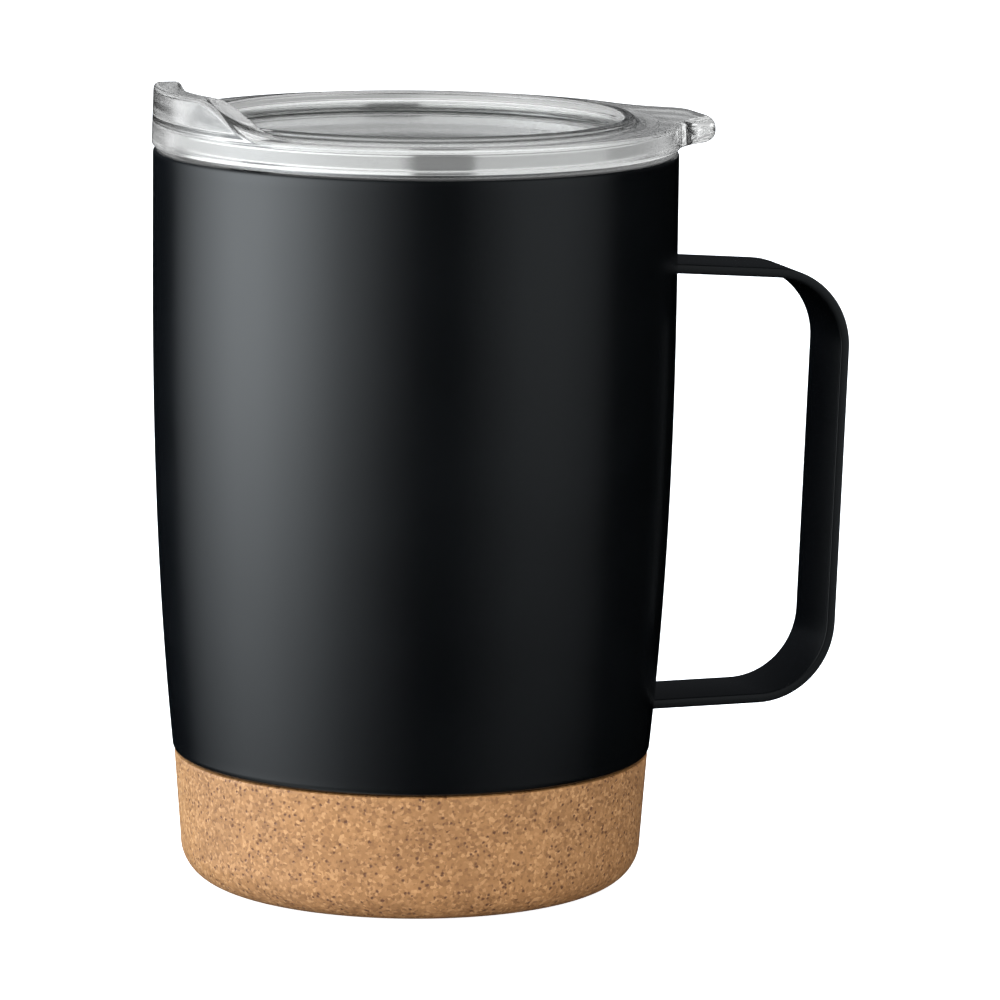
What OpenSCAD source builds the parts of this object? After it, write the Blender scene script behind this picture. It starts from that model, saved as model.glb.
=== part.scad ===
// Double-wall steel travel mug with a cork base, a strap handle and a clear press-on lid.
// Origin: centre of the cork's underside. +Z up, +X towards the handle, drinking spout towards -X.
// All dimensions are in millimetres.

/* [Steel body] */
// Largest outside diameter of the steel shell
body_d = 80; // [78:0.5:84]
// Height of the shell's rim above the table
rim_z = 113; // [108:1:120]
// How much narrower the shell is at the cork than at its widest, on the radius
shell_draw_in = 3.3; // [2:0.1:4]
// Thickness of the steel of the shell and the liner
steel_t = 0.5; // [0.4:0.1:0.7]
// Inside diameter of the mouth, where the lid's seal sits
mouth_d = 70; // [69.6:0.2:70.4]
// Height of the bare steel collar that stands above the shell, inside the lid
collar_h = 3.6; // [3:0.1:3.6]
// Thickness of the collar's folded edge
collar_t = 1.5; // [1.5:0.1:1.8]
// Inside diameter of the liner at its floor
floor_d = 62; // [58:1:64]

/* [Cork base] */
// Height of the cork that shows below the shell
cork_h = 20; // [18:0.5:22]
// Outside diameter of the cork at its top edge
cork_d = 73; // [72:0.2:73.2]
// Thickness of the cork under the steel
cork_floor_t = 6.5; // [5:0.5:7]
// Radius of the cork's rounded bottom edge
cork_round = 6; // [4:0.5:7]

/* [Handle] */
// Width of the flat bar
strap_w = 14; // [10:1:18]
// Thickness of the flat bar
strap_t = 1.5; // [1.2:0.1:2]
// Reach of the handle from the mug's axis
handle_reach = 68; // [64:1:72]
// Height of the handle's top face where it meets the shell
handle_top_z = 94.9; // [90:0.1:98]
// Height of the handle's underside where it meets the shell
handle_bottom_z = 25.4; // [25:0.1:30]
// Outer radius of the handle's two bends
handle_bend = 12.6; // [8:0.2:15]

/* [Lid] */
// Outside diameter of the lid's flange
lid_d = 80.4; // [80.2:0.1:81.2]
// Thickness of the flange at its edge
flange_h = 4; // [3.9:0.1:5]
// Gap that shows between the rim and the flange's edge
flange_gap = 0.5; // [0.4:0.1:0.8]
// Outside diameter of the plug that goes into the mouth
plug_d = 66.4; // [66:0.2:66.8]
// How far the plug reaches below the rim
plug_depth = 8.6; // [8:0.2:12]
// Wall of the plug and of the raised lip above it
plug_wall = 1.7; // [1.5:0.1:2]
// How far the raised lip stands above the flange
lip_h = 0.8; // [0.6:0.1:1.5]
// Thickness of the floor of the well
well_floor_t = 2; // [1.5:0.1:2.4]
// Depth of the well below the flange's top
well_depth = 2.6; // [2:0.1:3]

/* [Spout and tab] */
// Height of the drinking spout above the flange
spout_h = 5.1; // [4:0.1:7]
// Half-angle of the spout's level top
spout_flat_angle = 17.5; // [12:0.5:24]
// Half-angle at which the spout's ramps reach the flange
spout_end_angle = 38.5; // [34:0.5:46]
// Radial width of the spout's level top
spout_top_w = 3.8; // [2.5:0.1:4]
// How far the thumb tab reaches from the mug's axis
tab_reach = 46.6; // [44:0.1:49]
// Radius of the thumb tab's two outer corners
tab_corner = 6.5; // [4:0.5:8]
// Radius of the hollow curves between the tab and the flange
tab_fillet = 12; // [8:1:16]
// Radius of the rounding of the tab's tip, above and below
tab_tip_round = 1.7; // [0.5:0.1:1.7]
// Width of the drinking hole, across the arc
drink_w = 6; // [5:0.5:7]
// Half-angle of the drinking hole between its end centres
drink_angle = 16; // [10:1:24]
// Diameter of the air vent
vent_d = 2.4; // [1.5:0.1:3]

/* [Seal] */
// Height of the groove that holds the silicone ring
groove_h = 3; // [2.6:0.2:3.4]
// Depth of the groove
groove_deep = 0.8; // [0.6:0.1:0.9]
// Clearance between the ring and the steel, and between the ring and the groove
seal_gap = 0.05; // [0.03:0.01:0.1]

/* [Hidden] */
$fn = 96;

// Steel body
body_r = body_d / 2;
widest_z = rim_z - 15;
shell_power = 2.4;
rim_round = 0.8;
shell_edge = 1.2;
neck_r = cork_d / 2 - 3.3;
adhesive_t = 0.4;
neck_z = cork_floor_t + adhesive_t;
mouth_r = mouth_d / 2;
liner_floor_z = neck_z + 6;
liner_corner = 6;
straight_z = rim_z - 13;
collar_r = mouth_r + collar_t;
collar_top = rim_z + collar_h;
steps = 24;

// Lid, with a channel for the collar that has these gaps above and outside it
seat_gap = 0.2;
channel_gap = 0.35;
seat_z = collar_top + seat_gap;
channel_r = collar_r + channel_gap;
flange_z = rim_z + flange_gap;
flange_top = flange_z + flange_h;
lid_r = lid_d / 2;
plug_r = plug_d / 2;
well_r = plug_r - plug_wall;
plug_z = rim_z - plug_depth;
floor_top = flange_top - well_depth;
floor_z = floor_top - well_floor_t;
lip_top = flange_top + lip_h;
edge_round = 0.5;
flange_lean = 0.15;
tab_root_r = (channel_r + lid_r) / 2;
tab_sink = 0.1;
tab_side = lid_r / 2;
ramp_sink = 0.05;
groove_z = plug_z + 2.4;
groove_r = plug_r - groove_deep;
spout_top = flange_top + spout_h;
drink_r = well_r - 1.6 - drink_w / 2;

// Points of an arc about (cx, cy) from angle a to angle b
function arc(cx, cy, r, a, b, n = 8) =
  [for (i = [0 : n]) [cx + r * cos(a + (b - a) * i / n), cy + r * sin(a + (b - a) * i / n)]];

// A list in the opposite order
function reversed(p) = [for (i = [len(p) - 1 : -1 : 0]) p[i]];

// Outer radius of the shell at a height: full below the rim, drawn in towards the cork
function shell_r(z) =
  body_r - shell_draw_in * pow(max(0, (widest_z - z) / (widest_z - cork_h)), shell_power);

// Inner radius of the liner at a height: straight in the mouth, then tapering to the floor
function liner_r(z) =
  mouth_r - (mouth_r - floor_d / 2) * pow(max(0, (straight_z - z) / (straight_z - liner_floor_z)), 1.6);

// Even steps from a to b
function ramp(a, b, n) = [for (i = [0 : n]) a + (b - a) * i / n];

// The shell's rounded rim, from its side to its flat shoulder, as an arc of radius r
function rim_arc(r) =
  arc(shell_r(rim_z - rim_round) - rim_round, rim_z - rim_round, r, 0, 90, 8);

// Black powder-coated shell: barrel side, rounded rim with a shoulder that meets the liner's collar,
// rounded lower edge and a neck inside the cork
module outer_shell() {
  low = cork_h + shell_edge;
  high = rim_z - rim_round;
  side = [for (z = ramp(low, high, steps)) [shell_r(z), z]];
  inside = [for (z = ramp(high, low, steps)) [shell_r(z) - steel_t, z]];
  low_r = shell_r(low);
  color("#1d1f21")
    rotate_extrude()
      polygon(concat(
        side,
        rim_arc(rim_round),
        [[collar_r, rim_z], [collar_r, rim_z - steel_t]],
        reversed(rim_arc(rim_round - steel_t)),
        inside,
        arc(low_r - shell_edge, low, shell_edge - steel_t, 0, -90, 6),
        [[neck_r + steel_t * 0.3, cork_h + steel_t], [neck_r, cork_h + steel_t]],
        [[neck_r - steel_t, cork_h], [neck_r - steel_t, neck_z], [neck_r, neck_z], [neck_r, cork_h]],
        arc(low_r - shell_edge, low, shell_edge, -90, 0, 6)));
}

// Bare steel liner: straight mouth, and a collar above the shell whose edge is folded outwards and
// down to the weld with the shell's shoulder
module inner_liner() {
  fold = collar_t / 2;
  fold_x = mouth_r + fold;
  fold_z = collar_top - fold;
  corner_z = liner_floor_z + liner_corner;
  corner_x = liner_r(corner_z) - liner_corner;
  color("#c6c9cc")
    rotate_extrude()
      polygon(concat(
        [[0, liner_floor_z - steel_t], [0, liner_floor_z]],
        arc(corner_x, corner_z, liner_corner, -90, 0, 8),
        [for (z = ramp(corner_z, straight_z, steps)) [liner_r(z), z]],
        arc(fold_x, fold_z, fold, 180, 0, 12),
        [[collar_r, rim_z - steel_t], [collar_r - steel_t, rim_z - steel_t]],
        arc(fold_x, fold_z, fold - steel_t, 0, 180, 8),
        [for (z = ramp(straight_z, corner_z, steps)) [liner_r(z) + steel_t, z]],
        arc(corner_x, corner_z, liner_corner + steel_t, 0, -90, 8)));
}

// Steel plate pressed into the neck, which closes the double wall from below
module outer_bottom() {
  plate_r = neck_r - steel_t;
  lip_up = 3;
  dish = 1.2;
  color("#b3b6b9")
    rotate_extrude()
      polygon([
        [0, neck_z + dish], [plate_r - 8, neck_z + dish], [plate_r - 6, neck_z], [plate_r, neck_z],
        [plate_r, neck_z + lip_up], [plate_r - steel_t, neck_z + lip_up],
        [plate_r - steel_t, neck_z + steel_t], [plate_r - 6 + steel_t / 2, neck_z + steel_t],
        [plate_r - 8 + steel_t / 2, neck_z + dish + steel_t], [0, neck_z + dish + steel_t]]);
}

// Ring of adhesive film between the steel bottom and the cork
module base_adhesive() {
  ring_w = 5;
  color("#e8e2cc")
    rotate_extrude()
      translate([neck_r - ring_w, cork_floor_t])
        square([ring_w, adhesive_t]);
}

// Moulded cork cup: slightly tapered side, large rounded bottom edge, recess for the steel neck
module cork_base() {
  top_r = cork_d / 2;
  foot_r = top_r - 1;
  top_edge = 0.4;
  flat_r = foot_r - cork_round;
  color("#c99b66")
    rotate_extrude()
      polygon(concat(
        [[0, 0]],
        arc(flat_r, cork_round, cork_round, -90, 0, 12),
        [[top_r, cork_h - top_edge], [top_r - top_edge, cork_h]],
        [[neck_r, cork_h], [neck_r, cork_floor_t], [0, cork_floor_t]]));
}

// Side view of the space inside the handle's outer face, inset by d
module handle_outline(d) {
  lean = 0.0335;
  far = 30;
  top_slope = -0.069;
  bottom_slope = 0.007;
  // Outer corner points of the three straight stretches
  top_in = [far, handle_top_z + top_slope * (far - body_r)];
  bottom_in = [far, handle_bottom_z + bottom_slope * (far - body_r)];
  top_corner = corner_on_side(handle_top_z - top_slope * body_r, top_slope, lean);
  bottom_corner = corner_on_side(handle_bottom_z - bottom_slope * body_r, bottom_slope, lean);
  rounded([[bottom_in[0], bottom_in[1] + d], [bottom_corner[0] - d, bottom_corner[1] + d],
           [top_corner[0] - d, top_corner[1] - d], [top_in[0], top_in[1] - d]],
          handle_bend - d);
}

// Where the line z = z0 + slope * x meets the handle's leaning outer side
function corner_on_side(z0, slope, lean) =
  let (mid_z = 70, x = (handle_reach + lean * (z0 - mid_z)) / (1 - lean * slope)) [x, z0 + slope * x];

// Points of a round corner of radius r at p, between the directions to a and to b
function fillet(a, p, b, r, n = 12) =
  let (
    u = (a - p) / norm(a - p),
    v = (b - p) / norm(b - p),
    half = acos(u * v) / 2,
    bisector = (u + v) / norm(u + v),
    c = p + bisector * r / sin(half),
    from = p + u * r / tan(half) - c,
    to = p + v * r / tan(half) - c,
    a0 = atan2(from[1], from[0]),
    turn = atan2(from[0] * to[1] - from[1] * to[0], from * to))
  arc(c[0], c[1], r, a0, a0 + turn, n);

// Four-sided outline whose second and third corners are rounded
module rounded(p, r) {
  polygon(concat([p[0]], fillet(p[0], p[1], p[2], r), fillet(p[1], p[2], p[3], r), [p[3]]));
}

// Bent flat bar, cut to the shell's curve at both ends
module handle_strap() {
  color("#1d1f21")
    difference() {
      rotate([90, 0, 0])
        linear_extrude(strap_w, center = true)
          difference() {
            handle_outline(0);
            handle_outline(strap_t);
          }
      rotate_extrude()
        polygon(concat(
          [[0, cork_h]],
          [for (z = ramp(cork_h + shell_edge, rim_z - rim_round, steps)) [shell_r(z), z]],
          [[0, rim_z - rim_round]]));
    }
}

// Revolved part of the lid: flange with the channel for the collar, raised lip, floor of the well,
// and plug with its groove
module lid_ring() {
  round_in = 0.5;
  rotate_extrude()
    polygon(concat(
      [[0, floor_z], [well_r - round_in, floor_z]],
      [[well_r, floor_z - round_in], [well_r, plug_z + round_in], [well_r + round_in, plug_z]],
      [[plug_r - round_in, plug_z], [plug_r, plug_z + round_in]],
      [[plug_r, groove_z], [groove_r, groove_z], [groove_r, groove_z + groove_h]],
      [[plug_r, groove_z + groove_h], [plug_r, seat_z], [channel_r, seat_z], [channel_r, flange_z]],
      arc(lid_r - edge_round, flange_z + edge_round, edge_round, -90, 0, 4),
      arc(lid_r - flange_lean - edge_round, flange_top - edge_round, edge_round, 0, 90, 4),
      [[plug_r + 0.5, flange_top], [plug_r + 0.1, flange_top + 0.3]],
      arc(plug_r - 0.4, lip_top - 0.4, 0.4, 0, 90, 4),
      arc(well_r + 0.5, lip_top - 0.5, 0.5, 90, 180, 4),
      arc(well_r - 0.6, floor_top + 0.6, 0.6, 0, -90, 4),
      [[0, floor_top]]));
}

// Height of the spout's top edge at a distance y from its middle: level, then an S-shaped ramp
function spout_z(y) =
  let (
    y0 = lid_r * sin(spout_flat_angle),
    y1 = lid_r * sin(spout_end_angle),
    t = min(1, max(0, (abs(y) - y0) / (y1 - y0))))
  flange_top - ramp_sink + (spout_h + ramp_sink) * (1 + cos(180 * t)) / 2;

// Drinking spout: a crescent of the flange's wall that rises behind the drinking hole
module spout() {
  top_r = lid_r - flange_lean - 0.15;
  base_r = top_r - spout_top_w - 0.3;
  half = lid_r * sin(spout_end_angle);
  intersection() {
    rotate_extrude()
      polygon(concat(
        [[base_r, flange_top - 0.5], [lid_r - flange_lean, flange_top - 0.5]],
        arc(top_r - 0.8, spout_top - 0.8, 0.8, 0, 90, 5),
        [[top_r - spout_top_w, spout_top], [base_r, flange_top]]));
    rotate([90, 0, -90])
      linear_extrude(lid_r + 1)
        polygon(concat(
          [[-half, flange_top - 0.4]],
          [for (y = ramp(-half, half, 40)) [y, spout_z(y)]],
          [[half, flange_top - 0.4]]));
  }
}

// Outline of one half of the thumb tab: along its root inside the flange, along the hollow curve and
// round the corner
function tab_half() =
  let (
    corner_x = tab_reach - tab_corner,
    corner_y = 3.6,
    reach = norm([corner_x, corner_y]),
    far = lid_r - tab_sink + tab_fillet,
    near = tab_corner + tab_fillet,
    swing = atan2(corner_y, corner_x) + acos((far * far + reach * reach - near * near) / (2 * far * reach)),
    hollow_x = far * cos(swing),
    hollow_y = far * sin(swing),
    lean = atan2(hollow_y - corner_y, hollow_x - corner_x))
  concat(
    arc(0, 0, tab_root_r, swing / 12, swing, 5),
    arc(hollow_x, hollow_y, tab_fillet, 180 + swing, 180 + lean, 12),
    arc(corner_x, corner_y, tab_corner, lean, 0, 10));

// Thumb tab: two round corners joined to the flange by hollow curves, with a rounded tip
module tab() {
  half = tab_half();
  tip_x = tab_reach - tab_tip_round;
  intersection() {
    translate([0, 0, flange_z])
      linear_extrude(flange_h)
        polygon(concat(half, [for (p = reversed(half)) [p[0], -p[1]]]));
    translate([0, tab_side, 0])
      rotate([90, 0, 0])
        linear_extrude(2 * tab_side)
          polygon(concat(
            [[0, flange_z]],
            arc(tip_x, flange_z + tab_tip_round, tab_tip_round, -90, 0, 6),
            arc(tip_x, flange_top - tab_tip_round, tab_tip_round, 0, 90, 6),
            [[0, flange_top]]));
  }
}

// Points of the round end of the drinking hole at angle a, turning from one long side to the other
function drink_end(a, from) =
  [for (i = [1 : 7]) [
    drink_r * cos(a) + drink_w / 2 * cos(from + 22.5 * i),
    drink_r * sin(a) + drink_w / 2 * sin(from + 22.5 * i)]];

// Curved drinking hole with round ends, through the floor of the well beside the spout
module drinking_hole() {
  first = 180 - drink_angle;
  last = 180 + drink_angle;
  linear_extrude(well_floor_t + 2)
    polygon(concat(
      arc(0, 0, drink_r + drink_w / 2, first, last, 10),
      drink_end(last, last),
      arc(0, 0, drink_r - drink_w / 2, last, first, 10),
      drink_end(first, first + 180)));
}

// Clear moulded lid
module lid_body() {
  color([0.86, 0.9, 0.92, 0.5])
    difference() {
      union() {
        lid_ring();
        spout();
        tab();
      }
      translate([0, 0, floor_z - 1])
        drinking_hole();
      translate([drink_r, 0, floor_z - 1])
        cylinder(d = vent_d, h = well_floor_t + 2);
    }
}

// Silicone ring: a band in the groove with two thin fins that press on the steel
module lid_seal() {
  band_r = plug_r + 0.5;
  fin_r = mouth_r - seal_gap;
  in_r = groove_r + seal_gap;
  low = groove_z + seal_gap;
  high = groove_z + groove_h - seal_gap;
  fin_t = 0.5;
  color([0.93, 0.94, 0.94, 0.8])
    rotate_extrude()
      polygon([
        [in_r, low], [band_r, low], [fin_r, low + 0.5], [fin_r, low + 0.5 + fin_t],
        [band_r, low + 1], [band_r, high - 1], [fin_r, high - 0.5], [fin_r, high - 0.5 + fin_t],
        [band_r, high], [in_r, high]]);
}

outer_shell();
inner_liner();
outer_bottom();
base_adhesive();
cork_base();
handle_strap();
lid_body();
lid_seal();
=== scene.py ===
"""Looks of a double-wall travel mug: powder-coated steel, cork base, strap handle and clear lid.

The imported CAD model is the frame. Every visible piece is rebuilt here as a finer mesh in the same
place, and rides on the CAD body that it belongs to. Lengths in the shape functions are in
millimetres and become metres when a mesh is made.
"""

import math

import bmesh
import bpy
from mathutils import Matrix, Vector, noise


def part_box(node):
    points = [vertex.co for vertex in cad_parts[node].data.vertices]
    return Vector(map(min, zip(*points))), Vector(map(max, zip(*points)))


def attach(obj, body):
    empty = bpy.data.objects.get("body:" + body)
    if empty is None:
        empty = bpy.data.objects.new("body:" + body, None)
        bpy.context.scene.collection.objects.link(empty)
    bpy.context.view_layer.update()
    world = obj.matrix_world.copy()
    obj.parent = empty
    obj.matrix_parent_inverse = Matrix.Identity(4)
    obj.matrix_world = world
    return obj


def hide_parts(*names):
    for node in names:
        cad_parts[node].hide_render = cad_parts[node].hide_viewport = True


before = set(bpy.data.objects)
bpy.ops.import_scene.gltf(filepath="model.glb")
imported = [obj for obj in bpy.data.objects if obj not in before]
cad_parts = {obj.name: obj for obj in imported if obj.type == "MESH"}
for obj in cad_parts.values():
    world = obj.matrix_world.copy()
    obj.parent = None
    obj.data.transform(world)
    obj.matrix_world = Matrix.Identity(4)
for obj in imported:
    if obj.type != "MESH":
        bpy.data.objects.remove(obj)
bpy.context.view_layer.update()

MM = 0.001
# Faces that meet at less than this angle shade as one smooth surface
SMOOTH_ANGLE = math.radians(30)
# Points nearer to the Z axis than this lie on it
ON_AXIS = 1e-6


def box_mm(node):
    """Lowest and highest corner of a CAD node, in millimetres."""
    low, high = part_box(node)
    return [v / MM for v in low], [v / MM for v in high]


# ---------------------------------------------------------------- sizes, from the frame where it has them

SHELL_LOW, SHELL_HIGH = box_mm("outer_shell")
LINER_LOW, LINER_HIGH = box_mm("inner_liner")
CORK_HIGH = box_mm("cork_base")[1]
STRAP_LOW, STRAP_HIGH = box_mm("handle_strap")
LID_LOW, LID_HIGH = box_mm("lid_body")
SEAL_LOW, SEAL_HIGH = box_mm("lid_seal")

# Steel body
BODY_R = SHELL_HIGH[1]
RIM_Z = SHELL_HIGH[2]
COLLAR_TOP = LINER_HIGH[2]
CORK_H = CORK_HIGH[2]
WIDEST_Z = RIM_Z - 15
DRAW_IN = 3.3
SHELL_POWER = 2.4
STEEL_T = 0.5
RIM_ROUND = 0.8
SHELL_EDGE = 1.2
CORK_R = CORK_HIGH[1]
NECK_R = CORK_R - 3.3
NECK_Z = SHELL_LOW[2]
MOUTH_R = 35
FLOOR_R = 31
LINER_CORNER = 6
LINER_FLOOR_Z = LINER_LOW[2] + STEEL_T
LINER_POWER = 1.6
STRAIGHT_Z = RIM_Z - 13
COLLAR_T = 1.5
COLLAR_R = MOUTH_R + COLLAR_T

# Cork. Its pits keep off its underside, its top edge and its inside
ADHESIVE_T = 0.4
CORK_ROUND = 6
CORK_FLOOR_T = NECK_Z - ADHESIVE_T
CORK_TAPER = 1.0
CORK_EDGE = 0.4
CORK_BEVEL = 0.12
PIT_DEPTH = 0.05
PIT_LOW_Z = 0.2
PIT_HIGH_Z = CORK_H - 0.3
PIT_MIN_R = NECK_R + 0.5

# Handle. Its heights are of its outer face where it meets the shell, and its ends sink into the shell
STRAP_W = STRAP_HIGH[1] - STRAP_LOW[1]
STRAP_T = 1.5
STRAP_TOP_Z = 94.9
STRAP_TOP_SLOPE = -0.069
STRAP_TOP_SINK = 1.0
STRAP_LOW_Z = 25.4
STRAP_LOW_SLOPE = 0.007
STRAP_LOW_SINK = 1.1
STRAP_REACH = 68
STRAP_REACH_Z = 70
STRAP_LEAN = 0.0335
STRAP_BEND = 12.6
STRAP_BEND_STEPS = 20
STRAP_EDGE = 0.28

# Lid
LID_R = LID_HIGH[1]
TAB_REACH = LID_HIGH[0]
SPOUT_TOP = LID_HIGH[2]
PLUG_Z = LID_LOW[2]
SEAT_Z = COLLAR_TOP + 0.2
CHANNEL_R = COLLAR_R + 0.35
FLANGE_Z = RIM_Z + 0.5
FLANGE_TOP = FLANGE_Z + 4
LIP_TOP = FLANGE_TOP + 0.8
PLUG_R = 33.2
WELL_R = PLUG_R - 1.7
FLOOR_TOP = FLANGE_TOP - 2.6
FLOOR_Z = FLOOR_TOP - 2
GROOVE_Z = PLUG_Z + 2.4
GROOVE_H = 3
GROOVE_R = PLUG_R - 0.8
FLANGE_LEAN = 0.15
EDGE_SOFT = 0.45
LIP_TOP_R = PLUG_R - 0.1
LIP_FOOT_R = PLUG_R + 0.15
SPOUT_H = SPOUT_TOP - FLANGE_TOP
SPOUT_W = 3.8
SPOUT_SOFT = 0.35
SPOUT_FOOT = 0.3
SPOUT_FLAT = math.radians(17.5)
SPOUT_END = math.radians(38.5)
TAB_CORNER = 6.5
TAB_CORNER_Y = 3.6
TAB_FILLET = 12
TAB_SOFT = 1.35
TAB_SOFT_RATE = 1.5
EDGE_ZONE = 2.6
DRINK_W = 6
DRINK_HALF = math.radians(16)
DRINK_R = WELL_R - 1.6 - DRINK_W / 2
VENT_D = 2.4
CUT_PAST = 1

# Silicone ring
SEAL_GAP = 0.05
SEAL_BAND_R = PLUG_R + 0.5
SEAL_FIN_H = 1.0
SEAL_FIN_FLAT = 0.5


# ---------------------------------------------------------------- camera

# How far the camera stands round the mug, from -Y towards the spout, in degrees
CAMERA_TURN = 16.8


def make_camera():
    """A long lens nearly a metre away, a little above the mug and to the spout's side."""
    turn = math.radians(-CAMERA_TURN)
    distance, height = 0.96024, 0.22436
    yaw, pitch, roll = math.radians(0.795), math.radians(9.782), math.radians(0.642)
    spin = Matrix.Rotation(turn, 3, "Z")
    ahead = Vector((math.sin(yaw) * math.cos(pitch), math.cos(yaw) * math.cos(pitch), -math.sin(pitch)))
    side = Vector((math.cos(yaw), -math.sin(yaw), 0))
    top = side.cross(ahead)
    right = side * math.cos(roll) + top * math.sin(roll)
    up = top * math.cos(roll) - side * math.sin(roll)
    axes = Matrix((spin @ right, spin @ up, spin @ -ahead)).transposed().to_4x4()
    data = bpy.data.cameras.new("camera")
    data.sensor_width = 36
    data.lens = 228.6
    data.clip_start = 0.05
    data.clip_end = 20
    camera = bpy.data.objects.new("camera", data)
    camera.matrix_world = Matrix.Translation(spin @ Vector((0, -distance, height))) @ axes
    bpy.context.collection.objects.link(camera)
    bpy.context.scene.camera = camera


make_camera()


# ---------------------------------------------------------------- outlines and meshes

def arc(cx, cz, r, start, end, steps):
    """Points of an arc about (cx, cz) from angle start to angle end, in degrees."""
    angles = [math.radians(start + (end - start) * i / steps) for i in range(steps + 1)]
    return [(cx + r * math.cos(a), cz + r * math.sin(a)) for a in angles]


def steps_between(a, b, count):
    """Even values from a to b."""
    return [a + (b - a) * i / count for i in range(count + 1)]


def soft_path(corners, arc_steps=8, support=0.12):
    """A path through corners (x, z, t), each rounded over a length t on both sides.

    A short straight piece is kept beside every rounded corner, so that flat faces shade flat.
    The number of points doesn't depend on the shape. The first and last corners stay as they are.
    """
    handle = 0.5523
    most_round, most_support = 0.45, 0.04
    path = [Vector(corners[0][:2])]
    for before, here, after in zip(corners, corners[1:], corners[2:]):
        p = Vector(here[:2])
        back = Vector(before[:2]) - p
        on = Vector(after[:2]) - p
        reach_back = min(here[2], most_round * back.length)
        reach_on = min(here[2], most_round * on.length)
        start = p + back.normalized() * reach_back
        end = p + on.normalized() * reach_on
        near, far = start.lerp(p, handle), end.lerp(p, handle)
        path.append(start + back.normalized() * min(support, most_support * back.length))
        for i in range(arc_steps + 1):
            s = i / arc_steps
            first = start * (1 - s) ** 3 + near * 3 * s * (1 - s) ** 2
            last = far * 3 * s ** 2 * (1 - s)
            path.append(first + last + end * s ** 3)
        path.append(end + on.normalized() * min(support, most_support * on.length))
    path.append(Vector(corners[-1][:2]))
    return path


def shade(mesh):
    """Smooth shading, with sharp edges where faces meet at SMOOTH_ANGLE or more."""
    for polygon in mesh.polygons:
        polygon.use_smooth = True
    mesh.set_sharp_from_angle(angle=SMOOTH_ANGLE)


def linked_object(name, bm):
    """An object in the scene with the bmesh as its mesh. The bmesh is freed."""
    mesh = bpy.data.meshes.new(name)
    bm.to_mesh(mesh)
    bm.free()
    obj = bpy.data.objects.new(name, mesh)
    bpy.context.collection.objects.link(obj)
    return obj


def new_object(name, bm):
    """A smooth-shaded object from a bmesh that was built in millimetres."""
    bmesh.ops.remove_doubles(bm, verts=bm.verts, dist=1e-5)
    bmesh.ops.recalc_face_normals(bm, faces=bm.faces)
    bmesh.ops.scale(bm, vec=(MM, MM, MM), verts=bm.verts)
    obj = linked_object(name, bm)
    shade(obj.data)
    return obj


def skin(bm, rings, closed_path, closed_ring):
    """Faces between rings of points. Rings have the same number of vertices."""
    count = len(rings)
    size = len(rings[0])
    for i in range(count if closed_path else count - 1):
        low, high = rings[i], rings[(i + 1) % count]
        for j in range(size if closed_ring else size - 1):
            k = (j + 1) % size
            corners = [low[j], low[k], high[k], high[j]]
            face = [v for n, v in enumerate(corners) if v not in corners[:n]]
            if len(face) > 2:
                bm.faces.new(face)


def lathe(name, profile, segments):
    """A profile of (r, z) points turned about Z. A point on the axis becomes one vertex.

    A profile clear of the axis is closed. One that touches it stays open from its last point to its
    first, so it only makes a closed skin if both of those are on the axis.
    """
    bm = bmesh.new()
    columns = []
    poles = {}
    for i, (r, z) in enumerate(profile):
        if r < ON_AXIS:
            poles[i] = bm.verts.new((0, 0, z))
    for j in range(segments):
        a = 2 * math.pi * j / segments
        columns.append([
            poles[i] if i in poles else bm.verts.new((r * math.cos(a), r * math.sin(a), z))
            for i, (r, z) in enumerate(profile)])
    on_axis = len(poles) > 0
    skin(bm, columns, closed_path=True, closed_ring=not on_axis)
    return new_object(name, bm)


# ---------------------------------------------------------------- materials

def new_material(name):
    """A node material with its Principled shader."""
    material = bpy.data.materials.new(name)
    material.use_nodes = True
    return material, material.node_tree, material.node_tree.nodes["Principled BSDF"]


def add_node(tree, kind, inputs=None, **settings):
    """A node with its settings, and input values by name."""
    node = tree.nodes.new(kind)
    for key, value in settings.items():
        setattr(node, key, value)
    for key, value in (inputs or {}).items():
        node.inputs[key].default_value = value
    return node


def place(tree, scale=(1, 1, 1)):
    """The object's own coordinates, in metres times scale."""
    coords = add_node(tree, "ShaderNodeTexCoord")
    mapping = add_node(tree, "ShaderNodeMapping", {"Scale": scale})
    tree.links.new(coords.outputs["Object"], mapping.inputs["Vector"])
    return mapping.outputs["Vector"]


def noise_at(tree, vector, scale, detail=2.0):
    """Noise with this scale, in cells a metre."""
    node = add_node(tree, "ShaderNodeTexNoise", {"Scale": scale, "Detail": detail})
    tree.links.new(vector, node.inputs["Vector"])
    return node.outputs["Fac"]


def ramp_of(tree, value, stops):
    """A straight colour ramp through (position, colour) stops."""
    node = add_node(tree, "ShaderNodeValToRGB")
    elements = node.color_ramp.elements
    while len(elements) < len(stops):
        elements.new(0.5)
    for element, (position, colour) in zip(elements, stops):
        element.position = position
        element.color = (*colour, 1)
    tree.links.new(value, node.inputs["Fac"])
    return node.outputs["Color"]


def spread(tree, value, low, high):
    """A value from 0..1 moved to low..high."""
    node = add_node(tree, "ShaderNodeMapRange", {"To Min": low, "To Max": high})
    tree.links.new(value, node.inputs["Value"])
    return node.outputs["Result"]


def bump(tree, height, distance, strength, under=None, invert=False):
    """Normals bumped by a height value, on top of other normals. Distance is in metres."""
    node = add_node(tree, "ShaderNodeBump", {"Strength": strength, "Distance": distance}, invert=invert)
    tree.links.new(height, node.inputs["Height"])
    if under is not None:
        tree.links.new(under, node.inputs["Normal"])
    return node.outputs["Normal"]


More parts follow.
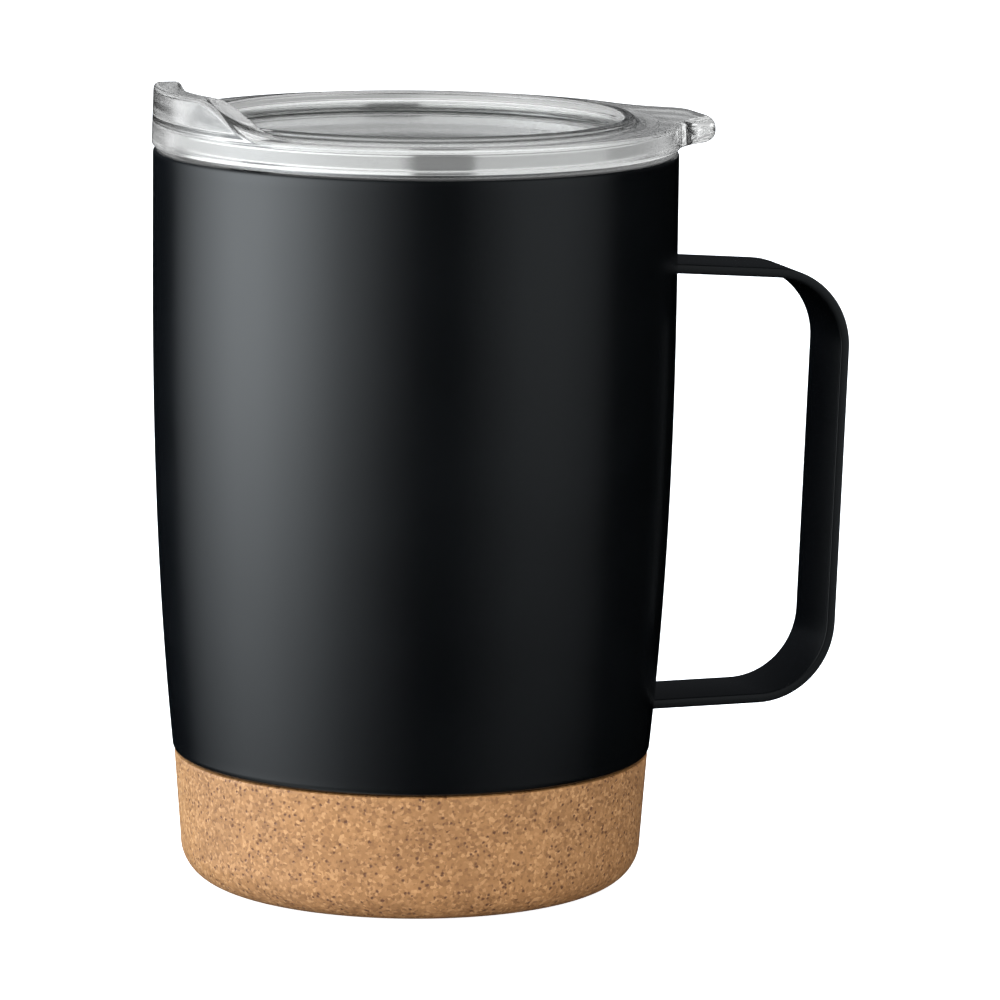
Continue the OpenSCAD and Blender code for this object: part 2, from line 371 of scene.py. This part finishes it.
def mix_colour(tree, factor, a, b, blend="MIX"):
    """Two colours mixed by a factor. Colours are sockets or RGB tuples."""
    node = add_node(tree, "ShaderNodeMix", data_type="RGBA", blend_type=blend)
    for socket, value in ((node.inputs[0], factor), (node.inputs[6], a), (node.inputs[7], b)):
        if isinstance(value, bpy.types.NodeSocket):
            tree.links.new(value, socket)
        elif isinstance(value, tuple):
            socket.default_value = (*value, 1)
        else:
            socket.default_value = value
    return node.outputs[2]


def calculate(tree, operation, a, b=None):
    """One step of arithmetic on sockets or numbers."""
    node = add_node(tree, "ShaderNodeMath", operation=operation)
    for socket, value in zip(node.inputs, (a, b)):
        if isinstance(value, bpy.types.NodeSocket):
            tree.links.new(value, socket)
        elif value is not None:
            socket.default_value = value
    return node.outputs[0]


def black_coat():
    """Satin black powder coat: a fine even orange-peel with slightly uneven gloss."""
    material, tree, shader = new_material("black_coat")
    where = place(tree)
    grain = noise_at(tree, where, 2600, detail=3)
    patches = noise_at(tree, where, 60, detail=3)
    colour = ramp_of(tree, patches, [(0.3, (0.0012, 0.0015, 0.0018)), (0.7, (0.0018, 0.0022, 0.0026))])
    tree.links.new(colour, shader.inputs["Base Color"])
    tree.links.new(spread(tree, patches, 0.2, 0.25), shader.inputs["Roughness"])
    shader.inputs["Specular IOR Level"].default_value = 0.5
    tree.links.new(bump(tree, grain, 0.000006, 0.5), shader.inputs["Normal"])
    return material


def bare_steel():
    """Stainless steel with fine circular brushing: polished at the collar, satin below it."""
    material, tree, shader = new_material("bare_steel")
    polished_z, satin_z, satin_more = RIM_Z + 1, RIM_Z - 2, 0.42
    lines = noise_at(tree, place(tree, (40, 40, 12000)), 1.0)
    colour = ramp_of(tree, lines, [(0.3, (0.60, 0.60, 0.595)), (0.7, (0.64, 0.64, 0.635))])
    tree.links.new(colour, shader.inputs["Base Color"])
    height = add_node(tree, "ShaderNodeSeparateXYZ")
    tree.links.new(place(tree), height.inputs["Vector"])
    satin = add_node(tree, "ShaderNodeMapRange", {
        "From Min": polished_z * MM, "From Max": satin_z * MM, "To Min": 0.0, "To Max": satin_more})
    tree.links.new(height.outputs["Z"], satin.inputs["Value"])
    roughness = calculate(tree, "ADD", satin.outputs["Result"], spread(tree, lines, 0.05, 0.08))
    tree.links.new(roughness, shader.inputs["Roughness"])
    shader.inputs["Metallic"].default_value = 1.0
    return material


def uneven(tree, vector, scale, share):
    """Coordinates mixed with a share of noise, so that the cells in them get uneven edges."""
    wobble = add_node(tree, "ShaderNodeTexNoise", {"Scale": scale, "Detail": 2.0})
    tree.links.new(vector, wobble.inputs["Vector"])
    node = add_node(tree, "ShaderNodeMix", data_type="VECTOR", inputs={0: share})
    tree.links.new(vector, node.inputs[4])
    tree.links.new(wobble.outputs["Color"], node.inputs[5])
    return node.outputs[1]


def cells_at(tree, vector, scale):
    """Cells with this scale: each cell's random values, and the distance from its centre."""
    cells = add_node(tree, "ShaderNodeTexVoronoi", {"Scale": scale, "Randomness": 1.0})
    tree.links.new(vector, cells.inputs["Vector"])
    values = add_node(tree, "ShaderNodeSeparateColor")
    tree.links.new(cells.outputs["Color"], values.inputs["Color"])
    return values, cells.outputs["Distance"]


def cork_specks(tree, vector):
    """How dark each point is for a speck: the middles of about a third of the cells."""
    values, distance = cells_at(tree, vector, 1350)
    chosen = calculate(tree, "GREATER_THAN", values.outputs["Green"], 0.68)
    near = ramp_of(tree, distance, [(0.2, (1, 1, 1)), (0.42, (0, 0, 0))])
    return calculate(tree, "MULTIPLY", chosen, near)


def cork():
    """Sanded cork agglomerate: small granules in shades of tan, with sunken dark-brown specks."""
    material, tree, shader = new_material("cork")
    speck_brown = (0.10, 0.038, 0.014)
    where = place(tree)
    bent = uneven(tree, where, 1400, 0.0005)
    values, _ = cells_at(tree, bent, 2200)
    granules = ramp_of(tree, values.outputs["Red"], [
        (0.0, (0.19, 0.086, 0.028)), (0.35, (0.265, 0.128, 0.043)),
        (0.7, (0.29, 0.142, 0.05)), (1.0, (0.41, 0.22, 0.09))])
    cloud = noise_at(tree, where, 160, detail=3)
    tone = ramp_of(tree, cloud, [(0.3, (0.88, 0.86, 0.84)), (0.7, (1.08, 1.08, 1.08))])
    base = mix_colour(tree, 1.0, granules, tone, "MULTIPLY")
    specks = cork_specks(tree, bent)
    tree.links.new(mix_colour(tree, specks, base, speck_brown), shader.inputs["Base Color"])
    shader.inputs["Roughness"].default_value = 0.55
    shader.inputs["Specular IOR Level"].default_value = 0.5
    grain = bump(tree, noise_at(tree, where, 2600, detail=3), 0.00005, 0.4)
    sunken = bump(tree, specks, 0.0001, 0.6, under=grain, invert=True)
    tree.links.new(sunken, shader.inputs["Normal"])
    return material


def clear_plastic():
    """Clear moulded plastic, a little soft in its reflections, with faint flow waves."""
    material, tree, shader = new_material("clear_plastic")
    waves = noise_at(tree, place(tree, (1, 1, 3)), 70, detail=2)
    shader.inputs["Base Color"].default_value = (0.965, 0.975, 0.975, 1)
    shader.inputs["Transmission Weight"].default_value = 1.0
    shader.inputs["IOR"].default_value = 1.5
    tree.links.new(spread(tree, waves, 0.08, 0.12), shader.inputs["Roughness"])
    tree.links.new(bump(tree, waves, 0.00002, 0.1), shader.inputs["Normal"])
    return material


def silicone():
    """Milky translucent silicone."""
    material, tree, shader = new_material("silicone")
    haze = noise_at(tree, place(tree), 300, detail=2)
    colour = ramp_of(tree, haze, [(0.3, (0.80, 0.82, 0.82)), (0.7, (0.87, 0.88, 0.88))])
    tree.links.new(colour, shader.inputs["Base Color"])
    tree.links.new(spread(tree, haze, 0.42, 0.5), shader.inputs["Roughness"])
    shader.inputs["Transmission Weight"].default_value = 0.6
    shader.inputs["IOR"].default_value = 1.41
    return material


def adhesive():
    """Dull film of adhesive."""
    material, tree, shader = new_material("adhesive")
    streaks = noise_at(tree, place(tree), 500, detail=3)
    colour = ramp_of(tree, streaks, [(0.3, (0.60, 0.56, 0.44)), (0.7, (0.70, 0.66, 0.54))])
    tree.links.new(colour, shader.inputs["Base Color"])
    shader.inputs["Roughness"].default_value = 0.7
    tree.links.new(bump(tree, streaks, 0.00002, 0.5), shader.inputs["Normal"])
    return material


MATERIALS = {
    "black_coat": black_coat(),
    "bare_steel": bare_steel(),
    "cork": cork(),
    "clear_plastic": clear_plastic(),
    "silicone": silicone(),
    "adhesive": adhesive()}


def settle(obj, node, body, slot):
    """The finished piece gets its material, rides on its body and stands for its CAD node."""
    obj.data.materials.clear()
    obj.data.materials.append(MATERIALS[slot])
    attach(obj, body)
    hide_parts(node)


# ---------------------------------------------------------------- steel body

def shell_r(z):
    """Outer radius of the shell: full below the rim, drawn in towards the cork."""
    return BODY_R - DRAW_IN * max(0, (WIDEST_Z - z) / (WIDEST_Z - CORK_H)) ** SHELL_POWER


def liner_r(z):
    """Inner radius of the liner: straight in the mouth, tapering to the floor."""
    fall = max(0, (STRAIGHT_Z - z) / (STRAIGHT_Z - LINER_FLOOR_Z)) ** LINER_POWER
    return MOUTH_R - (MOUTH_R - FLOOR_R) * fall


def make_outer_shell():
    """Barrel-shaped shell: rounded rim with a shoulder, rounded lower edge, neck inside the cork."""
    low, high = CORK_H + SHELL_EDGE, RIM_Z - RIM_ROUND
    rim_x, low_x = shell_r(high) - RIM_ROUND, shell_r(low) - SHELL_EDGE
    profile = [(shell_r(z), z) for z in steps_between(low, high, 72)]
    profile += arc(rim_x, high, RIM_ROUND, 0, 90, 10)[1:]
    profile += [(COLLAR_R, RIM_Z), (COLLAR_R, RIM_Z - STEEL_T)]
    profile += arc(rim_x, high, RIM_ROUND - STEEL_T, 90, 0, 6)
    profile += [(shell_r(z) - STEEL_T, z) for z in steps_between(high, low, 36)][1:]
    profile += arc(low_x, low, SHELL_EDGE - STEEL_T, 0, -90, 6)[1:]
    profile += [(NECK_R, CORK_H + STEEL_T), (NECK_R - STEEL_T, CORK_H + STEEL_T)]
    profile += [(NECK_R - STEEL_T, NECK_Z), (NECK_R, NECK_Z), (NECK_R, CORK_H)]
    profile += arc(low_x, low, SHELL_EDGE, -90, 0, 12)[:-1]
    settle(lathe("mug_shell", profile, 320), "outer_shell", "cup", "black_coat")


def make_inner_liner():
    """Steel liner. Its collar stands above the shell and is folded down to the shell's shoulder.

    The underside of its floor has no faces. It is sealed between the walls and never seen.
    """
    fold = COLLAR_T / 2
    fold_x, fold_z = MOUTH_R + fold, COLLAR_TOP - fold
    corner_z = LINER_FLOOR_Z + LINER_CORNER
    corner_x = liner_r(corner_z) - LINER_CORNER
    profile = [(0, LINER_FLOOR_Z - STEEL_T), (0, LINER_FLOOR_Z)]
    profile += arc(corner_x, corner_z, LINER_CORNER, -90, 0, 16)
    profile += [(liner_r(z), z) for z in steps_between(corner_z, fold_z, 80)][1:-1]
    profile += arc(fold_x, fold_z, fold, 180, 0, 24)
    profile += [(COLLAR_R, RIM_Z - STEEL_T), (COLLAR_R - STEEL_T, RIM_Z - STEEL_T)]
    profile += arc(fold_x, fold_z, fold - STEEL_T, 0, 180, 10)
    profile += [(liner_r(z) + STEEL_T, z) for z in steps_between(fold_z, corner_z, 40)][1:]
    profile += arc(corner_x, corner_z, LINER_CORNER + STEEL_T, 0, -90, 12)[1:]
    settle(lathe("mug_liner", profile, 320), "inner_liner", "cup", "bare_steel")


def strap_corner(z, slope):
    """Outer corner of the handle, where a stretch that slopes from height z at the axis meets its side."""
    x = (STRAP_REACH + STRAP_LEAN * (z - STRAP_REACH_Z)) / (1 - STRAP_LEAN * slope)
    return Vector((x, z + slope * x))


def strap_bend(before, corner, after):
    """Points of the round bend at a corner, with their outward directions."""
    u, v = (before - corner).normalized(), (after - corner).normalized()
    half = u.angle(v) / 2
    centre = corner + (u + v).normalized() * STRAP_BEND / math.sin(half)
    start = corner + u * STRAP_BEND / math.tan(half) - centre
    angles = steps_between(0, math.pi - 2 * half, STRAP_BEND_STEPS)
    spokes = [Matrix.Rotation(angle, 2) @ start for angle in angles]
    return [(centre + spoke, spoke.normalized()) for spoke in spokes]


def strap_route():
    """Outer face of the handle seen from the side, with each point's outward direction."""
    low_z = STRAP_LOW_Z - STRAP_LOW_SLOPE * BODY_R
    top_z = STRAP_TOP_Z - STRAP_TOP_SLOPE * BODY_R
    low_x = shell_r(STRAP_LOW_Z) - STRAP_LOW_SINK
    top_x = BODY_R - STRAP_TOP_SINK
    low_end = Vector((low_x, low_z + STRAP_LOW_SLOPE * low_x))
    top_end = Vector((top_x, top_z + STRAP_TOP_SLOPE * top_x))
    low, top = strap_corner(low_z, STRAP_LOW_SLOPE), strap_corner(top_z, STRAP_TOP_SLOPE)
    down = Vector((STRAP_LOW_SLOPE, -1)).normalized()
    up = Vector((-STRAP_TOP_SLOPE, 1)).normalized()
    bends = strap_bend(low_end, low, top) + strap_bend(low, top, top_end)
    return [(low_end, down)] + bends + [(top_end, up)]


def make_handle():
    """Flat bar with softly rounded edges, swept along its route. Its ends are hidden in the shell."""
    half, edge, t = STRAP_W / 2, STRAP_EDGE, STRAP_T
    section = []
    for cy, cd, start in ((half - edge, edge, 0), (half - edge, t - edge, 90),
                          (edge - half, t - edge, 180), (edge - half, edge, 270)):
        for dy, dd in arc(0, 0, edge, start - 90, start, 5):
            section.append((cy + dy, cd + dd))
    bm = bmesh.new()
    rings = []
    for p, out in strap_route():
        rings.append([bm.verts.new((p.x - out.x * d, y, p.y - out.y * d)) for y, d in section])
    skin(bm, rings, closed_path=False, closed_ring=True)
    bm.faces.new(rings[0])
    bm.faces.new(list(reversed(rings[-1])))
    settle(new_object("mug_handle", bm), "handle_strap", "cup", "black_coat")


# ---------------------------------------------------------------- cork base

def make_cork():
    """Moulded cork cup. Its side and its rounded foot have the shallow pits of sanded cork."""
    foot_r = CORK_R - CORK_TAPER
    side_h = CORK_H - CORK_EDGE - CORK_ROUND
    outside = [(r, 0) for r in steps_between(0, foot_r - CORK_ROUND, 40)]
    outside += arc(foot_r - CORK_ROUND, CORK_ROUND, CORK_ROUND, -90, 0, 28)[1:]
    outside += [(foot_r + CORK_TAPER * s, CORK_ROUND + side_h * s) for s in steps_between(0, 1, 44)[1:]]
    inside = [(CORK_R - CORK_BEVEL, CORK_H - CORK_BEVEL), (CORK_R - CORK_EDGE, CORK_H)]
    inside += [(NECK_R, CORK_H), (NECK_R, CORK_FLOOR_T), (0, CORK_FLOOR_T)]
    obj = lathe("mug_cork", outside + inside, 640)
    for vertex in obj.data.vertices:
        p = vertex.co
        if PIT_LOW_Z * MM < p.z < PIT_HIGH_Z * MM and math.hypot(p.x, p.y) > PIT_MIN_R * MM:
            pits = noise.noise(p * 1400) + 0.6 * noise.noise(p * 600)
            p -= Vector((p.x, p.y, 0)).normalized() * PIT_DEPTH * MM * max(0, pits)
    settle(obj, "cork_base", "cup", "cork")


# ---------------------------------------------------------------- lid

def tab_arcs():
    """The +Y half of the tab's outline: centres of its round corner and its hollow curve, and angles.

    swing is the hollow curve's direction from the axis, and lean its direction from the corner.
    """
    corner = Vector((TAB_REACH - TAB_CORNER, TAB_CORNER_Y))
    far, near = LID_R + TAB_FILLET, TAB_CORNER + TAB_FILLET
    cosine = (far ** 2 + corner.length_squared - near ** 2) / (2 * far * corner.length)
    swing = math.atan2(corner.y, corner.x) + math.acos(cosine)
    hollow = Vector((math.cos(swing), math.sin(swing))) * far
    lean = math.atan2(hollow.y - corner.y, hollow.x - corner.x)
    return corner, hollow, swing, lean


def lid_outline():
    """The lid's outline from above as (point, outward direction), once round from the tab's middle."""
    corner, hollow, swing, lean = tab_arcs()
    half = [(Vector((TAB_REACH, y)), Vector((1, 0))) for y in steps_between(0, TAB_CORNER_Y, 4)[:-1]]
    for a in steps_between(0, lean, 36)[:-1]:
        out = Vector((math.cos(a), math.sin(a)))
        half.append((corner + out * TAB_CORNER, out))
    for a in steps_between(lean, swing, 26)[:-1]:
        out = Vector((math.cos(a), math.sin(a)))
        half.append((hollow - out * TAB_FILLET, out))
    for a in steps_between(swing, math.pi, 150)[:-1]:
        out = Vector((math.cos(a), math.sin(a)))
        half.append((out * LID_R, out))
    mirrored = [(Vector((p.x, -p.y)), Vector((n.x, -n.y))) for p, n in half[1:]]
    return half + [(Vector((-LID_R, 0)), Vector((-1, 0)))] + mirrored[::-1]


def spout_rise(p):
    """Height of the spout above the flange at a point from above: level, then an S-shaped ramp."""
    if p.x > 0:
        return 0
    first, last = LID_R * math.sin(SPOUT_FLAT), LID_R * math.sin(SPOUT_END)
    t = min(1, max(0, (abs(p.y) - first) / (last - first)))
    return SPOUT_H * (1 + math.cos(math.pi * t)) / 2


def lid_section(direction, reach):
    """The lid's section in one direction as soft_path corners (r, z, softness).

    reach is the outline's distance. The tab's edge is softer than the flange's.
    """
    top_r = LID_R - 2 * FLANGE_LEAN
    inner_rise = spout_rise(direction * (top_r - SPOUT_W))
    outer_rise = spout_rise(direction * top_r)
    lean = FLANGE_LEAN * (1 + outer_rise / SPOUT_H)
    on_tab = min(1, TAB_SOFT_RATE * max(0, reach - LID_R) / (TAB_REACH - LID_R))
    low_edge = EDGE_SOFT + TAB_SOFT * on_tab
    top_edge = EDGE_SOFT + SPOUT_SOFT * outer_rise / SPOUT_H + TAB_SOFT * on_tab
    groove_top = GROOVE_Z + GROOVE_H
    return [
        (0, FLOOR_TOP, 0),
        (WELL_R, FLOOR_TOP, 0.7),
        (WELL_R, LIP_TOP, 0.5),
        (LIP_TOP_R, LIP_TOP, 0.5),
        (LIP_FOOT_R, FLANGE_TOP, 0.5),
        (top_r - SPOUT_W - SPOUT_FOOT, FLANGE_TOP, 0.5),
        (top_r - SPOUT_W, FLANGE_TOP + inner_rise, 0.7),
        (reach - lean, FLANGE_TOP + outer_rise, top_edge),
        (reach, FLANGE_Z, low_edge),
        (CHANNEL_R, FLANGE_Z, 0.2),
        (CHANNEL_R, SEAT_Z, 0.4),
        (PLUG_R, SEAT_Z, 0.4),
        (PLUG_R, groove_top, 0.15),
        (GROOVE_R, groove_top, 0.15),
        (GROOVE_R, GROOVE_Z, 0.15),
        (PLUG_R, GROOVE_Z, 0.15),
        (PLUG_R, PLUG_Z, 0.5),
        (WELL_R, PLUG_Z, 0.5),
        (WELL_R, FLOOR_Z, 0.6),
        (0, FLOOR_Z, 0)]


def cut(obj, outline, low, high):
    """Cuts a straight hole with this outline through obj, from height low to high, in millimetres."""
    bm = bmesh.new()
    rings = [[bm.verts.new((x * MM, y * MM, z * MM)) for x, y in outline] for z in (low, high)]
    skin(bm, rings, closed_path=False, closed_ring=True)
    bm.faces.new(list(reversed(rings[0])))
    bm.faces.new(rings[1])
    bmesh.ops.recalc_face_normals(bm, faces=bm.faces)
    cutter = linked_object("cutter", bm)
    modifier = obj.modifiers.new("cut", "BOOLEAN")
    modifier.object = cutter
    modifier.operation = "DIFFERENCE"
    modifier.solver = "EXACT"
    bpy.context.view_layer.objects.active = obj
    bpy.ops.object.modifier_apply(modifier=modifier.name)
    bpy.data.objects.remove(cutter)


def drink_end(at, start):
    """Half circle round one end of the drinking hole, without its own ends. Angles are in degrees."""
    a = math.radians(at)
    return arc(DRINK_R * math.cos(a), DRINK_R * math.sin(a), DRINK_W / 2, start, start + 180, 14)[1:-1]


def drink_outline():
    """Outline of the curved drinking hole, in order."""
    half = math.degrees(DRINK_HALF)
    first, last = 180 - half, 180 + half
    outer = arc(0, 0, DRINK_R + DRINK_W / 2, first, last, 24)
    inner = arc(0, 0, DRINK_R - DRINK_W / 2, last, first, 24)
    return outer + drink_end(last, last) + inner + drink_end(first, first + 180)


def vent_outline():
    """Outline of the round air vent, in order."""
    return arc(DRINK_R, 0, VENT_D / 2, 0, 350, 35)


def make_lid():
    """Clear lid: one closed skin whose section changes round the outline, then its two holes."""
    bm = bmesh.new()
    top = bm.verts.new((0, 0, FLOOR_TOP))
    bottom = bm.verts.new((0, 0, FLOOR_Z))
    spokes = []
    for p, out in lid_outline():
        direction = p.normalized()
        spoke = []
        for q in soft_path(lid_section(direction, p.length))[1:-1]:
            inset = p.length - q.x
            at = p - out * inset if inset < EDGE_ZONE else direction * q.x
            spoke.append(bm.verts.new((at.x, at.y, q.y)))
        spokes.append([top] + spoke + [bottom])
    skin(bm, spokes, closed_path=True, closed_ring=False)
    obj = new_object("mug_lid", bm)
    for outline in (drink_outline(), vent_outline()):
        cut(obj, outline, FLOOR_Z - CUT_PAST, FLOOR_TOP + CUT_PAST)
    shade(obj.data)
    settle(obj, "lid_body", "lid", "clear_plastic")


def make_seal():
    """Silicone ring with two soft fins. Each fin slopes out at its underside and has a flat top."""
    fin_r, in_r, band_r = SEAL_HIGH[1], GROOVE_R + SEAL_GAP, SEAL_BAND_R
    low, high = SEAL_LOW[2], SEAL_HIGH[2]
    corners = [
        (in_r, low, 0.1),
        (band_r, low, 0.15),
        (fin_r, low + SEAL_FIN_FLAT, 0.2),
        (fin_r, low + SEAL_FIN_H, 0.2),
        (band_r, low + SEAL_FIN_H, 0.15),
        (band_r, high - SEAL_FIN_H, 0.15),
        (fin_r, high - SEAL_FIN_FLAT, 0.2),
        (fin_r, high, 0.2),
        (band_r, high, 0.15),
        (in_r, high, 0.1)]
    middle = (in_r, (low + high) / 2, 0)
    path = soft_path([middle] + corners[::-1] + [middle], arc_steps=4, support=0.03)
    settle(lathe("mug_seal", [tuple(p) for p in path[:-1]], 256), "lid_seal", "seal_ring", "silicone")


make_outer_shell()
make_inner_liner()
make_handle()
make_cork()
make_lid()
make_seal()

# The two pieces that are sealed inside the base keep their CAD shape
for node, slot in (("outer_bottom", "bare_steel"), ("base_adhesive", "adhesive")):
    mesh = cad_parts[node].data
    mesh.materials.clear()
    mesh.materials.append(MATERIALS[slot])


# ---------------------------------------------------------------- studio

# The three upright softboxes stand in a ring round the mug. Lengths are in metres
BOX_DISTANCE = 0.85
BOX_LOW = 0.03

# Brightness of the floor for the camera, above the light that falls on it
FLOOR_GLOW = 0.92

# What each kind of ray meets in the world
CAMERA_WHITE = (1.0, 1.0, 1.0)
MATT_GREY = (0.42, 0.42, 0.42)
OVERHEAD_WHITE = (1.3, 1.3, 1.3)
STRIP_COLOUR = (4.4, 4.7, 4.9)
UPPER_HAZE = (0.03, 0.032, 0.035)


def soft_light(name, location, target, width, height, power, colour=(1, 1, 1)):
    """A rectangular light that shines at a point. Reflections and the lid show the world, not the light."""
    data = bpy.data.lights.new(name, "AREA")
    data.shape = "RECTANGLE"
    data.size = width
    data.size_y = height
    data.energy = power
    data.color = colour
    obj = bpy.data.objects.new(name, data)
    obj.visible_glossy = False
    obj.visible_transmission = False
    obj.location = location
    bpy.context.collection.objects.link(obj)
    obj.rotation_euler = (Vector(target) - obj.location).to_track_quat("-Z", "Y").to_euler()


def softbox(name, azimuth, high, width, power, colour=(1, 1, 1)):
    """An upright light in the ring. Azimuth is in degrees from the camera's side towards its right."""
    a = math.radians(-90 - CAMERA_TURN + azimuth)
    middle = (BOX_LOW + high) / 2
    location = (BOX_DISTANCE * math.cos(a), BOX_DISTANCE * math.sin(a), middle)
    soft_light(name, location, (0, 0, middle), width, high - BOX_LOW, power, colour)


def make_floor():
    """A plain white floor. It glows for the camera only, so that just a faint shadow shows on it."""
    bm = bmesh.new()
    bmesh.ops.create_grid(bm, x_segments=8, y_segments=8, size=6.0)
    floor = linked_object("floor", bm)
    material, tree, shader = new_material("floor_white")
    shader.inputs["Base Color"].default_value = (0.8, 0.8, 0.8, 1)
    shader.inputs["Roughness"].default_value = 0.9
    shader.inputs["Specular IOR Level"].default_value = 0.0
    shader.inputs["Emission Color"].default_value = (1, 1, 1, 1)
    path = add_node(tree, "ShaderNodeLightPath")
    glow = spread(tree, path.outputs["Is Camera Ray"], 0.0, FLOOR_GLOW)
    tree.links.new(glow, shader.inputs["Emission Strength"])
    floor.data.materials.append(material)
    floor.visible_glossy = False
    floor.visible_transmission = False


def bands(tree, angle, stops):
    """Brightness that changes round the studio. Stops are (degrees, brightness)."""
    share = calculate(tree, "ADD", calculate(tree, "DIVIDE", angle, 2 * math.pi), 0.5)
    return ramp_of(tree, share, [(d / 360 + 0.5, (v, v, v)) for d, v in stops])


def seen_through_lid(tree, angle, height, above):
    """The view through the lid: a table in bands, and above the horizon panels that even out overhead.

    A dark gap in both stands a little to the camera's right.
    """
    table = bands(tree, angle, [
        (-152, 0.4), (-148, 1.05), (-8, 0.95), (0, 0.4), (25, 0.4), (29, 0.8), (96, 0.8), (100, 0.6)])
    panels = bands(tree, angle, [
        (-160, 1.2), (-155, 0.4), (-132, 0.4), (-124, 2.4), (-60, 2.3), (-20, 1.8), (-4, 1.6), (0, 0.2),
        (25, 0.2), (29, 1.2), (96, 1.2), (110, 1.2)])
    room = mix_colour(tree, spread(tree, height, 0.0, 1.0), panels, OVERHEAD_WHITE)
    return mix_colour(tree, above, table, room)


def seen_in_reflections(tree, angle, height, above):
    """The view that the coat and the steel reflect: a wide soft strip of light to the camera's left.

    A faint strip stands to its right. Both fade upwards and, sooner, below the horizon.
    """
    strips = bands(tree, angle, [
        (-132, 0.0), (-118, 0.16), (-104, 0.45), (-85, 0.95), (-70, 1.05), (-52, 0.78), (-32, 0.33),
        (-12, 0.1), (2, 0.01), (18, 0.005), (32, 0.06), (48, 0.12), (66, 0.12), (84, 0.07), (98, 0.0)])
    share = calculate(tree, "ADD", calculate(tree, "DIVIDE", height, 2), 0.5)
    fade = ramp_of(tree, share, [
        (0.28, (0.12, 0.12, 0.12)), (0.33, (0.23, 0.23, 0.23)), (0.39, (0.5, 0.5, 0.5)),
        (0.43, (1, 1, 1)), (0.7, (0.8, 0.8, 0.8)), (0.9, (0.1, 0.1, 0.1))])
    faded = mix_colour(tree, 1.0, strips, fade, "MULTIPLY")
    tinted = mix_colour(tree, 1.0, faded, STRIP_COLOUR, "MULTIPLY")
    return mix_colour(tree, above, tinted, UPPER_HAZE, "ADD")


def make_world():
    """The studio round the mug, in which the camera, matt surfaces, reflections and the lid see apart.

    Directions are turned so that their angle is 0 towards the camera and grows to its right.
    """
    world = bpy.data.worlds.new("studio")
    bpy.context.scene.world = world
    world.use_nodes = True
    world.cycles.sampling_method = "NONE"
    tree = world.node_tree
    path = add_node(tree, "ShaderNodeLightPath")
    coords = add_node(tree, "ShaderNodeTexCoord")
    turned = add_node(tree, "ShaderNodeMapping", {"Rotation": (0, 0, math.radians(CAMERA_TURN))})
    tree.links.new(coords.outputs["Generated"], turned.inputs["Vector"])
    axes = add_node(tree, "ShaderNodeSeparateXYZ")
    tree.links.new(turned.outputs["Vector"], axes.inputs["Vector"])
    height = axes.outputs["Z"]
    ahead = calculate(tree, "MULTIPLY", axes.outputs["Y"], -1.0)
    angle = calculate(tree, "ARCTAN2", axes.outputs["X"], ahead)
    above = calculate(tree, "GREATER_THAN", height, 0.0)
    in_lid = calculate(tree, "GREATER_THAN", path.outputs["Transmission Depth"], 0.5)
    seen = seen_in_reflections(tree, angle, height, above)
    seen = mix_colour(tree, path.outputs["Is Diffuse Ray"], seen, MATT_GREY)
    seen = mix_colour(tree, in_lid, seen, seen_through_lid(tree, angle, height, above))
    seen = mix_colour(tree, path.outputs["Is Camera Ray"], seen, CAMERA_WHITE)
    tree.links.new(seen, tree.nodes["Background"].inputs["Color"])


make_floor()
make_world()
softbox("key_side", azimuth=-112, high=1.0, width=1.15, power=17, colour=(0.8, 1.05, 1.4))
softbox("key_front", azimuth=-40, high=1.0, width=1.15, power=14)
softbox("fill", azimuth=58, high=0.9, width=1.0, power=5.5)
soft_light("top", location=(0, 0.1, 1.3), target=(0, 0, 0), width=1.2, height=0.8, power=12)

# Plain colours, and enough bounces for light to pass through the lid's walls
scene = bpy.context.scene
scene.view_settings.view_transform = "Standard"
scene.view_settings.look = "None"
scene.cycles.max_bounces = 24
scene.cycles.transmission_bounces = 20
scene.cycles.glossy_bounces = 12
